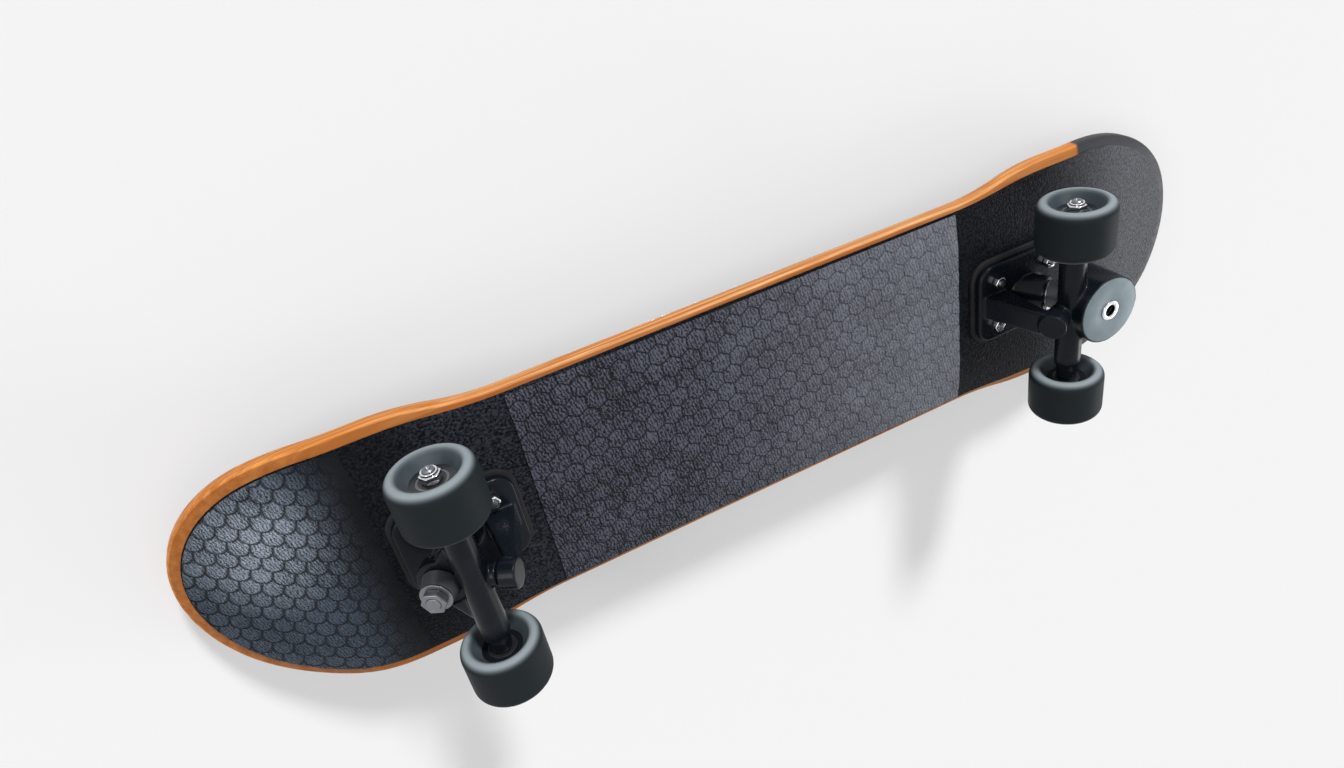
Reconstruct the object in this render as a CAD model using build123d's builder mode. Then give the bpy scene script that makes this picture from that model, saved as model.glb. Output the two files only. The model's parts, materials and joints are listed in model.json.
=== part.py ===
from build123d import *
from math import asin, cos, degrees, radians, sin, tan
import os

os.makedirs("parts", exist_ok=True)

# A cruiser skateboard, in millimetres. +X is the nose, +Y the rider's left, +Z up, wheels on Z = 0.

# Deck
deck_length = 900.0
deck_width = 212.0
waist_width = 191.0
flare_end_gap = 40.0
deck_thickness = 11.0
edge_round = 3.0
end_round = 122.0
flat_width = 92.0
concave_radius = 290.0
bend_overrun = 1.0
nose_kick_angle = 9.0
nose_kick_radius = 400.0
tail_kick_angle = 23.0
tail_kick_radius = 160.0
kick_margin = 6.0

# Sheets on the deck
grip_thickness = 0.8
grip_inset = 3.5
sheet_thickness = 0.8
sheet_inset = 4.5
sheet_end_inset = 8.5
panel_thickness = 1.6
panel_inset = 6.5
panel_margin = 12.0
pad_thickness = 1.4
pad_inset = 9.5
glue_gap = 0.02

# Trucks: the steering axis leans up towards the board's end, and the kingpin stands square to it
wheelbase = 516.0
truck_height = 56.0
steering_angle = 30.0
rake = 6.0
ring_reach = 24.0
pivot_reach = 17.0
fit_clearance = 0.05

baseplate_length = 90.0
baseplate_width = 72.0
baseplate_thickness = 6.5
baseplate_corner = 14.0
baseplate_edge_round = 2.0
baseplate_shift = -5.0
riser_border = 3.0
riser_thickness = 3.2

tower_width = 20.0
tower_root = 25.0
tower_setback = 3.0
tower_front = 7.0
socket_radius = 11.0
socket_depth = 11.0
socket_floor = 2.0
pivot_cup_radius = 8.0
pivot_cup_floor = 2.0
pivot_pin_radius = 6.0
pivot_pin_round = 2.0
pivot_end_gap = 0.5
pivot_collar_radius = 9.0
pivot_collar_gap = 1.5

ring_radius = 18.0
ring_thickness = 10.0
ring_hole_radius = 7.5
bushing_radius = 14.0
bushing_height = 12.0
bushing_round = 1.5
bushing_pocket_radius = 18.5
washer_radius = 11.5
washer_thickness = 1.5
seat_margin = 3.5
kingpin_radius = 5.0
kingpin_head_across = 16.0
kingpin_head_height = 6.5
kingpin_head_clearance = 0.4
kingpin_head_cover = 0.8
kingpin_nut_across = 16.0
kingpin_nut_height = 6.0
kingpin_end = 0.5
kingpin_chamfer = 0.4

hanger_width = 128.0
axle_tube_radius = 10.5
axle_neck_radius = 8.0
axle_neck_length = 9.0
axle_taper_length = 7.0
web_back = 4.0
web_thickness = 12.0

# Round bushing housing on the front hanger, an upright can whose cover faces the road
housing_radius = 29.0
housing_wall = 4.0
housing_floor = 2.0
housing_top = 22.0
housing_end_gap = 1.5
cover_thickness = 2.5
cover_rim = 1.2
eyelet_hole_radius = 5.0
eyelet_wall = 1.4
eyelet_flange_width = 3.4
eyelet_flange_height = 0.8

# Fasteners through the deck
bolt_spacing_long = 54.0
bolt_spacing_wide = 41.3
bolt_radius = 2.4
bolt_hole_clearance = 0.25
bolt_head_radius = 4.7
bolt_head_angle = 90.0
bolt_socket_across = 3.2
bolt_socket_depth = 2.2
bolt_end = 1.5
bolt_nut_across = 9.5
bolt_nut_height = 5.5

# Wheels and bearings
wheel_diameter = 60.0
wheel_width = 42.0
wheel_lip_radius = 7.0
dish_edge_radius = 21.5
dish_edge_step = 0.6
core_radius = 15.0
core_lip = 0.4
core_rib_radius = 9.4
bearing_radius = 11.0
axle_radius = 4.0
bearing_width = 7.0
race_wall = 1.7
ball_count = 7
shield_thickness = 0.5
shield_recess = 0.2
shield_gap = 0.2
spacer_length = 10.0
spacer_wall = 2.0
speed_ring_wall = 2.3
speed_ring_thickness = 0.8
axle_nut_across = 13.0
axle_nut_height = 5.0
axle_nut_collar_radius = 5.7
axle_nut_collar_height = 2.0
axle_end = 1.6
axle_chamfer = 0.8

# Worked-out places
wheel_radius = wheel_diameter / 2
axle_x = wheelbase / 2
baseplate_bottom = truck_height - baseplate_thickness
deck_bottom = wheel_radius + truck_height + riser_thickness + sheet_thickness
deck_top = deck_bottom + deck_thickness
bolt_hole_radius = bolt_radius + bolt_hole_clearance
riser_length = baseplate_length + 2 * riser_border
riser_width = baseplate_width + 2 * riser_border
kick_start = axle_x + baseplate_shift + riser_length / 2 + kick_margin
panel_end = axle_x + baseplate_shift - riser_length / 2 - panel_margin
lean_cos = cos(radians(steering_angle))
lean_sin = sin(radians(steering_angle))
seat_radius = washer_radius + seat_margin
stack_half = ring_thickness / 2 + bushing_height + washer_thickness
ring_height = rake * lean_cos + ring_reach * lean_sin
head_corner = kingpin_head_across / 2 / cos(radians(30))
head_top = (truck_height - kingpin_head_cover - head_corner * lean_sin - ring_height) / lean_cos
head_bottom = head_top - kingpin_head_height
kingpin_tip = stack_half + kingpin_nut_height + kingpin_end
pocket_end = kingpin_tip + housing_end_gap
ring_x = ring_reach * lean_cos - rake * lean_sin
pocket_front = ring_x + pocket_end * lean_sin + bushing_pocket_radius * lean_cos
pocket_bottom = ring_height - pocket_end * lean_cos - bushing_pocket_radius * lean_sin
housing_x = pocket_front + housing_wall - housing_radius
cover_top = pocket_bottom - housing_floor
cover_bottom = cover_top - cover_thickness
cover_radius = housing_radius - cover_rim
bearing_outside = spacer_length / 2 + bearing_width
bearing_middle = spacer_length / 2 + bearing_width / 2
nut_seat = bearing_outside + speed_ring_thickness
wheel_y = hanger_width / 2 + nut_seat
axle_half = wheel_y + nut_seat + axle_nut_height + axle_nut_collar_height + axle_end
inner_race_radius = axle_radius + race_wall
outer_race_radius = bearing_radius - race_wall
ball_orbit = (inner_race_radius + outer_race_radius) / 2
ball_radius = (outer_race_radius - inner_race_radius) / 2 - fit_clearance
front_truck = Plane(origin=(axle_x, 0, wheel_radius), x_dir=(1, 0, 0), z_dir=(0, 0, 1))
rear_truck = Plane(origin=(-axle_x, 0, wheel_radius), x_dir=(-1, 0, 0), z_dir=(0, 0, 1))
trucks = {"front": front_truck, "rear": rear_truck}
sides = {"left": 1, "right": -1}


def finish(part, node):
    part.label = node
    export_step(part, f"parts/{node}.step")


# Planes of one truck, whose own +X points to the nearer end of the board
def local_steering_point(along):
    return (along * lean_cos - rake * lean_sin, along * lean_sin + rake * lean_cos)


def steering_direction(truck):
    return truck.x_dir * lean_cos + truck.z_dir * lean_sin


def kingpin_direction(truck):
    return truck.x_dir * lean_sin - truck.z_dir * lean_cos


def steering_point(truck, along):
    x, z = local_steering_point(along)
    return truck.from_local_coords(Vector(x, 0, z))


def kingpin_plane(truck, along):
    centre = steering_point(truck, ring_reach) + kingpin_direction(truck) * along
    return Plane(origin=centre, x_dir=steering_direction(truck), z_dir=kingpin_direction(truck))


def housing_plane(truck, height):
    centre = truck.from_local_coords(Vector(housing_x, 0, height))
    return Plane(origin=centre, x_dir=truck.x_dir, z_dir=truck.z_dir)


def socket_plane(truck, depth):
    centre = steering_point(truck, -pivot_reach - depth)
    return Plane(origin=centre, x_dir=truck.y_dir, z_dir=-steering_direction(truck))


def side_plane(truck):
    return Plane(origin=truck.origin, x_dir=truck.x_dir, z_dir=-truck.y_dir)


def bolt_plane(truck, height):
    centre = truck.from_local_coords(Vector(baseplate_shift, 0, height))
    return Plane(origin=centre, x_dir=truck.x_dir, z_dir=truck.z_dir)


def axle_plane(truck):
    return Plane(origin=truck.origin, x_dir=(1, 0, 0), z_dir=(0, 1, 0))


def wheel_plane(truck, side):
    centre = truck.origin + Vector(0, side * wheel_y, 0)
    return Plane(origin=centre, x_dir=(1, 0, 0), z_dir=(0, side, 0))


# A turned profile is drawn with X as the radius and Y along the turning axis
def profile_plane(plane):
    return Plane(origin=plane.origin, x_dir=plane.x_dir, z_dir=-plane.y_dir)


def turning_axis(plane):
    return Axis(plane.origin, plane.z_dir)


def ring_profile(inner, outer, low, high):
    with Locations(((inner + outer) / 2, (low + high) / 2)):
        Rectangle(outer - inner, high - low)


def bolt_grid():
    return GridLocations(bolt_spacing_long, bolt_spacing_wide, 2, 2)


def hexagon(across):
    RegularPolygon(across / 2, 6, major_radius=False)


# Deck and its sheets: a pressed section swept along the kicked side line, cut to the board's outline
def kick_points(angle, radius):
    corner = kick_start + radius * tan(radians(angle / 2))
    overrun = deck_length / 2 + deck_thickness
    return corner, overrun, deck_bottom + (overrun - corner) * tan(radians(angle))


def side_line():
    tail_corner, tail_far, tail_height = kick_points(tail_kick_angle, tail_kick_radius)
    nose_corner, nose_far, nose_height = kick_points(nose_kick_angle, nose_kick_radius)
    tail_points = [(-tail_far, tail_height), (-tail_corner, deck_bottom)]
    nose_points = [(nose_corner, deck_bottom), (nose_far, nose_height)]
    with BuildLine(Plane.XZ) as line:
        FilletPolyline(*tail_points, *nose_points, radius=[tail_kick_radius, nose_kick_radius])
    return line.wire()


def outline(inset, end_inset):
    end_start = deck_length / 2 - end_round
    half_width = deck_width / 2 - end_inset
    half_waist = waist_width / 2 - inset
    flare_end = end_start - flare_end_gap
    turn_point = ((panel_end + flare_end) / 2, (half_width + half_waist) / 2)
    with BuildSketch() as sketch:
        with BuildLine():
            EllipticalCenterArc((end_start, 0), end_round - end_inset, half_width, arc_size=90)
            Line((end_start, half_width), (flare_end, half_width))
            outer = TangentArc((flare_end, half_width), turn_point, tangent=(-1, 0))
            inner = TangentArc(outer @ 1, (panel_end, half_waist), tangent=outer % 1)
            Line(inner @ 1, (0, half_waist))
            mirror(about=Plane.YZ)
            mirror(about=Plane.XZ)
        make_face()
    return sketch.sketch


def outline_between(inset, low_x, high_x):
    with BuildSketch() as sketch:
        add(outline(inset, inset))
        with Locations(((low_x + high_x) / 2, 0)):
            Rectangle(high_x - low_x, deck_width, mode=Mode.INTERSECT)
    return sketch.sketch


def pressed_section(low, high, path):
    reach = (deck_width - flat_width) / 2
    bend_angle = degrees(asin(reach / (concave_radius - high))) + bend_overrun
    bend_centre = (flat_width / 2, concave_radius)
    with BuildSketch(Plane(origin=path @ 0, x_dir=(0, 1, 0), z_dir=path % 0)) as section:
        with BuildLine():
            Line((0, low), (flat_width / 2, low))
            under = CenterArc(bend_centre, concave_radius - low, -90, bend_angle)
            over = CenterArc(bend_centre, concave_radius - high, -90, bend_angle)
            Line(under @ 1, over @ 1)
            Line((flat_width / 2, high), (0, high))
            mirror(about=Plane.YZ)
        make_face()
    return section.sketch


def pressed_layer(low, high, trim):
    path = side_line()
    section = pressed_section(low, high, path)
    with BuildPart() as layer:
        sweep(section, path=path)
        extrude(trim, amount=deck_length, both=True, mode=Mode.INTERSECT)
    return layer.part


def bolt_circles(truck, height, radius):
    with BuildSketch(bolt_plane(truck, height)) as circles:
        with bolt_grid():
            Circle(radius)
    return circles.sketch


def make_deck():
    board = pressed_layer(0, deck_thickness, outline(0, 0))
    with BuildPart() as deck:
        add(board)
        walls = deck.faces().filter_by(lambda face: abs(face.normal_at().Z) < 0.3)
        rims = walls.edges().filter_by(lambda edge: abs((edge % 0.5).Z) < 0.9)
        fillet(rims, edge_round)
        for truck in trucks.values():
            with Locations(bolt_plane(truck, deck_top - wheel_radius)):
                with bolt_grid():
                    CounterSinkHole(bolt_hole_radius, bolt_head_radius, counter_sink_angle=bolt_head_angle)
    finish(deck.part, "deck")


def make_sheet(node, low, high, trim, hole_radius):
    layer = pressed_layer(low, high, trim)
    with BuildPart() as sheet:
        add(layer)
        for truck in trucks.values():
            extrude(bolt_circles(truck, truck_height, hole_radius), amount=deck_length, mode=Mode.SUBTRACT)
    finish(sheet.part, node)


panel_low = -sheet_thickness - panel_thickness
pad_low = -sheet_thickness - pad_thickness
make_deck()
grip_hole_radius = bolt_head_radius + bolt_hole_clearance
grip_outline = outline(grip_inset, grip_inset)
underside_outline = outline(sheet_inset, sheet_end_inset)
panel_outline = outline_between(panel_inset, -panel_end, panel_end)
pad_outline = outline_between(pad_inset, -deck_length / 2, -kick_start)
grip_low = deck_thickness + glue_gap
grip_high = deck_thickness + grip_thickness
sheet_face = -sheet_thickness - glue_gap
make_sheet("grip_tape", grip_low, grip_high, grip_outline, grip_hole_radius)
make_sheet("underside_sheet", -sheet_thickness, -glue_gap, underside_outline, bolt_hole_radius)
make_sheet("centre_panel", panel_low, sheet_face, panel_outline, bolt_hole_radius)
make_sheet("tail_pad", pad_low, sheet_face, pad_outline, bolt_hole_radius)


# Truck castings
def make_riser(end, truck):
    with BuildPart() as riser:
        with BuildSketch(bolt_plane(truck, truck_height)):
            RectangleRounded(riser_length, riser_width, baseplate_corner + riser_border)
            with bolt_grid():
                Circle(bolt_hole_radius, mode=Mode.SUBTRACT)
        extrude(amount=riser_thickness)
    finish(riser.part, f"{end}_riser_pad")


def make_baseplate(end, truck):
    root = baseplate_shift - baseplate_length / 2 + tower_setback
    with BuildPart() as baseplate:
        with BuildSketch(bolt_plane(truck, baseplate_bottom)):
            RectangleRounded(baseplate_length, baseplate_width, baseplate_corner)
        extrude(amount=baseplate_thickness)
        fillet(baseplate.faces().sort_by(Axis.Z)[0].edges(), baseplate_edge_round)
        with BuildSketch(kingpin_plane(truck, -stack_half)):
            Circle(seat_radius)
        extrude(amount=-truck_height)
        with BuildSketch(side_plane(truck)):
            with BuildLine():
                Polyline(
                    (root, truck_height),
                    (root + tower_root, truck_height),
                    local_steering_point(-pivot_reach - tower_front),
                    local_steering_point(-pivot_reach - socket_depth - socket_floor),
                    close=True,
                )
            make_face()
        extrude(amount=tower_width / 2, both=True)
        with BuildSketch(socket_plane(truck, 0)):
            Circle(socket_radius)
        extrude(amount=socket_depth + socket_floor)
        with BuildSketch(bolt_plane(truck, truck_height)):
            Rectangle(2 * baseplate_length, 2 * baseplate_width)
        extrude(amount=truck_height, mode=Mode.SUBTRACT)
        with BuildSketch(socket_plane(truck, 0)):
            Circle(pivot_cup_radius)
        extrude(amount=socket_depth, mode=Mode.SUBTRACT)
        with BuildSketch(kingpin_plane(truck, -stack_half)):
            Circle(kingpin_radius + fit_clearance)
        extrude(amount=-truck_height, mode=Mode.SUBTRACT)
        with BuildSketch(kingpin_plane(truck, -head_bottom)):
            Circle(head_corner + kingpin_head_clearance)
        extrude(amount=-truck_height, mode=Mode.SUBTRACT)
        bolt_holes = bolt_circles(truck, baseplate_bottom, bolt_hole_radius)
        extrude(bolt_holes, amount=baseplate_thickness, mode=Mode.SUBTRACT)
    finish(baseplate.part, f"{end}_baseplate")


def make_pivot_cup(end, truck):
    with BuildPart() as cup:
        with BuildSketch(socket_plane(truck, 0)):
            Circle(pivot_cup_radius)
        extrude(amount=socket_depth)
        with BuildSketch(socket_plane(truck, 0)):
            Circle(pivot_pin_radius + fit_clearance)
        extrude(amount=socket_depth - pivot_cup_floor, mode=Mode.SUBTRACT)
    finish(cup.part, f"{end}_pivot_cup")


def make_hanger(end, truck, housed):
    web_half = hanger_width / 2 - axle_neck_length - axle_taper_length
    pin_tip = socket_depth - pivot_cup_floor - pivot_end_gap
    axle = axle_plane(truck)
    with BuildPart() as hanger:
        with BuildSketch(socket_plane(truck, pin_tip)):
            Circle(pivot_pin_radius)
        extrude(amount=-pin_tip - pivot_reach)
        fillet(hanger.edges().sort_by(turning_axis(socket_plane(truck, 0)))[-1], pivot_pin_round)
        with BuildSketch(socket_plane(truck, -pivot_collar_gap)):
            Circle(pivot_collar_radius)
        extrude(amount=pivot_collar_gap - pivot_reach)
        with BuildSketch(kingpin_plane(truck, -ring_thickness / 2)):
            Circle(ring_radius)
        extrude(amount=ring_thickness)
        with BuildSketch(kingpin_plane(truck, -web_back)):
            with BuildLine():
                Polyline(
                    (0, ring_radius),
                    (-ring_reach, web_half),
                    (-ring_reach, -web_half),
                    (0, -ring_radius),
                    close=True,
                )
            make_face()
        extrude(amount=web_thickness)
        with BuildSketch(profile_plane(axle)):
            with BuildLine():
                Polyline(
                    (0, -hanger_width / 2),
                    (axle_neck_radius, -hanger_width / 2),
                    (axle_neck_radius, -web_half - axle_taper_length),
                    (axle_tube_radius, -web_half),
                    (axle_tube_radius, web_half),
                    (axle_neck_radius, web_half + axle_taper_length),
                    (axle_neck_radius, hanger_width / 2),
                    (0, hanger_width / 2),
                    close=True,
                )
            make_face()
        revolve(axis=turning_axis(axle))
        if housed:
            with BuildSketch(housing_plane(truck, cover_bottom)):
                Circle(housing_radius)
            extrude(amount=housing_top - cover_bottom)
            with BuildSketch(housing_plane(truck, cover_bottom)):
                Circle(cover_radius)
            extrude(amount=cover_thickness, mode=Mode.SUBTRACT)
            with BuildSketch(housing_plane(truck, cover_top)):
                Circle(eyelet_hole_radius)
            extrude(amount=-pocket_bottom, mode=Mode.SUBTRACT)
            with BuildSketch(kingpin_plane(truck, -ring_thickness / 2)):
                Circle(housing_radius)
            extrude(amount=-housing_top, mode=Mode.SUBTRACT)
        with BuildSketch(kingpin_plane(truck, ring_thickness / 2)):
            Circle(bushing_pocket_radius)
        extrude(amount=pocket_end - ring_thickness / 2, mode=Mode.SUBTRACT)
        with BuildSketch(kingpin_plane(truck, -ring_thickness / 2)):
            Circle(ring_hole_radius)
        extrude(amount=ring_thickness, mode=Mode.SUBTRACT)
        with BuildSketch(axle):
            Circle(axle_radius)
        extrude(amount=hanger_width, both=True, mode=Mode.SUBTRACT)
    finish(hanger.part, f"{end}_hanger")


# Kingpin stack
def make_kingpin(end, truck):
    with BuildPart() as kingpin:
        with BuildSketch(kingpin_plane(truck, -head_top)):
            hexagon(kingpin_head_across)
        extrude(amount=kingpin_head_height)
        with BuildSketch(kingpin_plane(truck, -head_bottom)):
            Circle(kingpin_radius)
        extrude(amount=head_bottom + kingpin_tip)
        tip = kingpin.edges().sort_by(turning_axis(kingpin_plane(truck, 0)))[-1]
        chamfer(tip, kingpin_chamfer)
    finish(kingpin.part, f"{end}_kingpin")


def make_bushing(node, truck, low, high, low_radius, high_radius):
    plane = kingpin_plane(truck, 0)
    with BuildPart() as bushing:
        with BuildSketch(profile_plane(plane)) as profile:
            with BuildLine():
                Polyline(
                    (kingpin_radius + fit_clearance, low),
                    (low_radius, low),
                    (high_radius, high),
                    (kingpin_radius + fit_clearance, high),
                    close=True,
                )
            make_face()
            fillet(profile.vertices().group_by(Axis.X)[-1], bushing_round)
        revolve(axis=turning_axis(plane))
    finish(bushing.part, node)


def make_washers(end, truck):
    plane = kingpin_plane(truck, 0)
    bore_radius = kingpin_radius + fit_clearance
    inside = stack_half - washer_thickness
    with BuildPart() as washers:
        with BuildSketch(profile_plane(plane)):
            ring_profile(bore_radius, washer_radius, inside, stack_half)
            ring_profile(bore_radius, washer_radius, -stack_half, -inside)
        revolve(axis=turning_axis(plane))
    finish(washers.part, f"{end}_bushing_washers")


def make_kingpin_nut(end, truck):
    with BuildPart() as nut:
        with BuildSketch(kingpin_plane(truck, stack_half)):
            hexagon(kingpin_nut_across)
            Circle(kingpin_radius, mode=Mode.SUBTRACT)
        extrude(amount=kingpin_nut_height)
    finish(nut.part, f"{end}_kingpin_nut")


def make_housing_cover(truck):
    with BuildPart() as cover:
        with BuildSketch(housing_plane(truck, cover_bottom)):
            Circle(cover_radius)
            Circle(eyelet_hole_radius + eyelet_wall, mode=Mode.SUBTRACT)
        extrude(amount=cover_thickness)
    finish(cover.part, "front_housing_cover")


def make_cover_eyelet(truck):
    flange_radius = eyelet_hole_radius + eyelet_flange_width
    with BuildPart() as eyelet:
        with BuildSketch(housing_plane(truck, cover_bottom)):
            Circle(eyelet_hole_radius + eyelet_wall)
        extrude(amount=cover_thickness)
        with BuildSketch(housing_plane(truck, cover_bottom)):
            Circle(flange_radius)
        extrude(amount=-eyelet_flange_height)
        with BuildSketch(housing_plane(truck, cover_bottom - eyelet_flange_height)):
            Circle(eyelet_hole_radius)
        extrude(amount=cover_thickness + eyelet_flange_height, mode=Mode.SUBTRACT)
    finish(eyelet.part, "front_cover_eyelet")


# Bolts from the riding side, with locknuts under the baseplate
def make_mounting_bolts(end, truck):
    head_plane = bolt_plane(truck, deck_top - wheel_radius)
    bolt_low = baseplate_bottom - bolt_nut_height - bolt_end
    head_height = (bolt_head_radius - bolt_radius) / tan(radians(bolt_head_angle / 2))
    hung_below = (Align.CENTER, Align.CENTER, Align.MAX)
    with BuildPart() as bolts:
        extrude(bolt_circles(truck, bolt_low, bolt_radius), amount=deck_top - wheel_radius - bolt_low)
        with Locations(head_plane):
            with bolt_grid():
                Cone(bolt_radius, bolt_head_radius, head_height, align=hung_below)
        with BuildSketch(head_plane):
            with bolt_grid():
                hexagon(bolt_socket_across)
        extrude(amount=-bolt_socket_depth, mode=Mode.SUBTRACT)
    finish(bolts.part, f"{end}_mounting_bolts")


def make_mounting_nuts(end, truck):
    with BuildPart() as nuts:
        with BuildSketch(bolt_plane(truck, baseplate_bottom)):
            with bolt_grid():
                hexagon(bolt_nut_across)
                Circle(bolt_radius, mode=Mode.SUBTRACT)
        extrude(amount=-bolt_nut_height)
    finish(nuts.part, f"{end}_mounting_nuts")


# Axle and what is clamped on it, for both wheels of a truck
def make_axle(end, truck):
    with BuildPart() as axle:
        with BuildSketch(axle_plane(truck)):
            Circle(axle_radius)
        extrude(amount=axle_half, both=True)
        chamfer(axle.edges().filter_by(GeomType.CIRCLE), axle_chamfer)
    finish(axle.part, f"{end}_axle")


def make_clamped_rings(node, truck, outer, spans):
    with BuildPart() as rings:
        for side in sides.values():
            plane = wheel_plane(truck, side)
            with BuildSketch(profile_plane(plane)):
                for low, high in spans:
                    ring_profile(axle_radius, outer, low, high)
            revolve(axis=turning_axis(plane))
    finish(rings.part, node)


def make_axle_nuts(end, truck):
    with BuildPart() as nuts:
        for side in sides.values():
            with BuildSketch(wheel_plane(truck, side).offset(nut_seat)):
                hexagon(axle_nut_across)
                Circle(axle_radius, mode=Mode.SUBTRACT)
            extrude(amount=axle_nut_height)
            with BuildSketch(wheel_plane(truck, side).offset(nut_seat + axle_nut_height)):
                Circle(axle_nut_collar_radius)
                Circle(axle_radius, mode=Mode.SUBTRACT)
            extrude(amount=axle_nut_collar_height)
    finish(nuts.part, f"{end}_axle_nuts")


# One wheel and the bearing pieces that turn with it
def make_tyre(corner, plane):
    tread_half = wheel_width / 2 - wheel_lip_radius
    core_half = bearing_outside + core_lip
    lip_centre = wheel_radius - wheel_lip_radius
    with BuildPart() as tyre:
        with BuildSketch(profile_plane(plane)):
            with BuildLine():
                Line((wheel_radius, -tread_half), (wheel_radius, tread_half))
                Line((core_radius, -core_half), (core_radius, core_half))
                for face in (1, -1):
                    lip = CenterArc((lip_centre, face * tread_half), wheel_lip_radius, 0, face * 90)
                    edge = (dish_edge_radius, face * (wheel_width / 2 - dish_edge_step))
                    Polyline(lip @ 1, edge, (core_radius, face * core_half))
            make_face()
        revolve(axis=turning_axis(plane))
    finish(tyre.part, f"{corner}_tyre")


def make_core(corner, plane):
    core_half = bearing_outside + core_lip
    with BuildPart() as core:
        with BuildSketch(profile_plane(plane)):
            ring_profile(bearing_radius, core_radius, -core_half, core_half)
            ring_profile(core_rib_radius, core_radius, -spacer_length / 2, spacer_length / 2)
        revolve(axis=turning_axis(plane))
    finish(core.part, f"{corner}_core")


def make_outer_rings(corner, plane):
    with BuildPart() as rings:
        with BuildSketch(profile_plane(plane)):
            ring_profile(outer_race_radius, bearing_radius, spacer_length / 2, bearing_outside)
            ring_profile(outer_race_radius, bearing_radius, -bearing_outside, -spacer_length / 2)
        revolve(axis=turning_axis(plane))
    finish(rings.part, f"{corner}_bearing_outer_rings")


def make_shields(corner, plane):
    inner = inner_race_radius + shield_gap
    outside = bearing_outside - shield_recess
    inside = spacer_length / 2 + shield_recess
    spans = [(outside - shield_thickness, outside), (inside, inside + shield_thickness)]
    with BuildPart() as shields:
        with BuildSketch(profile_plane(plane)):
            for low, high in spans:
                ring_profile(inner, outer_race_radius, low, high)
                ring_profile(inner, outer_race_radius, -high, -low)
        revolve(axis=turning_axis(plane))
    finish(shields.part, f"{corner}_bearing_shields")


def make_balls(corner, plane):
    with BuildPart() as balls:
        for row in (bearing_middle, -bearing_middle):
            with Locations(plane.offset(row)):
                with PolarLocations(ball_orbit, ball_count):
                    Sphere(ball_radius)
    finish(balls.part, f"{corner}_bearing_balls")


for end, truck in trucks.items():
    make_riser(end, truck)
    make_baseplate(end, truck)
    make_pivot_cup(end, truck)
    make_hanger(end, truck, end == "front")
    make_kingpin(end, truck)
    ring_face = ring_thickness / 2
    bushing_end = ring_face + bushing_height
    make_bushing(f"{end}_bushing_board", truck, -bushing_end, -ring_face, washer_radius, bushing_radius)
    make_bushing(f"{end}_bushing_road", truck, ring_face, bushing_end, bushing_radius, washer_radius)
    make_washers(end, truck)
    make_kingpin_nut(end, truck)
    make_mounting_bolts(end, truck)
    make_mounting_nuts(end, truck)
    make_axle(end, truck)
    bearing_spans = [(spacer_length / 2, bearing_outside), (-bearing_outside, -spacer_length / 2)]
    make_clamped_rings(f"{end}_bearing_inner_rings", truck, inner_race_radius, bearing_spans)
    spacer_spans = [(-spacer_length / 2, spacer_length / 2)]
    make_clamped_rings(f"{end}_bearing_spacers", truck, axle_radius + spacer_wall, spacer_spans)
    speed_ring_spans = [(bearing_outside, nut_seat), (-nut_seat, -bearing_outside)]
    make_clamped_rings(f"{end}_speed_rings", truck, axle_radius + speed_ring_wall, speed_ring_spans)
    make_axle_nuts(end, truck)
    for side_name, side in sides.items():
        corner = f"{end}_{side_name}"
        plane = wheel_plane(truck, side)
        make_tyre(corner, plane)
        make_core(corner, plane)
        make_outer_rings(corner, plane)
        make_shields(corner, plane)
        make_balls(corner, plane)

make_housing_cover(front_truck)
make_cover_eyelet(front_truck)
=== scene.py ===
import bpy
import bmesh
import json
import math
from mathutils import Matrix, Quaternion, Vector


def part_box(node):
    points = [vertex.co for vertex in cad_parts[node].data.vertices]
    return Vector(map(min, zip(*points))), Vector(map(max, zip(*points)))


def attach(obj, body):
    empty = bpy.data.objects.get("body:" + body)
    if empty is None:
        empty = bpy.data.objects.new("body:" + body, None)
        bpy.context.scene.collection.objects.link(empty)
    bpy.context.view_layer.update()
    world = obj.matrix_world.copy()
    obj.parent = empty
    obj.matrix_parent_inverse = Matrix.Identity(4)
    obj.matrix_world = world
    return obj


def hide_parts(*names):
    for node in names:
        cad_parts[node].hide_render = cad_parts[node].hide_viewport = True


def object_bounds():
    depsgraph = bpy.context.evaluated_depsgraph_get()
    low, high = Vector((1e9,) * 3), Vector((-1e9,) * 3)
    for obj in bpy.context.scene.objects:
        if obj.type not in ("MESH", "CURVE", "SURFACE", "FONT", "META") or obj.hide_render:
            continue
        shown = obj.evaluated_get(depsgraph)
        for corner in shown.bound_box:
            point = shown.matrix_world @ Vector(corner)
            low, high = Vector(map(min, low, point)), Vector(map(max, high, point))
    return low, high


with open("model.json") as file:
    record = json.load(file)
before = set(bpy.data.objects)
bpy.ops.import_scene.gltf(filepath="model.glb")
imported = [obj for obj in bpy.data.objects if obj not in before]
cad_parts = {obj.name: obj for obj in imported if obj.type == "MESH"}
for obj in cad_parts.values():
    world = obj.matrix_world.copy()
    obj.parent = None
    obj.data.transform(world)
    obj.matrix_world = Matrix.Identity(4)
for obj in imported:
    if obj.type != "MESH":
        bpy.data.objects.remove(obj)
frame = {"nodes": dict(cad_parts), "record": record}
cadLow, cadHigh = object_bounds()
nodes = frame["nodes"]
ends = ("front", "rear")
print("frame loaded,", len(nodes), "nodes")


# Handling of objects, as in the viewport
def deselectAll():
    if bpy.context.object and bpy.context.object.mode != "OBJECT":
        bpy.ops.object.mode_set(mode="OBJECT")
    bpy.ops.object.select_all(action="DESELECT")


def takeUp(piece):
    deselectAll()
    piece.select_set(True)
    bpy.context.view_layer.objects.active = piece


def editAll(piece):
    takeUp(piece)
    bpy.ops.object.mode_set(mode="EDIT")
    bpy.ops.mesh.select_all(action="SELECT")


def leaveEdit():
    bpy.ops.object.mode_set(mode="OBJECT")


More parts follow.
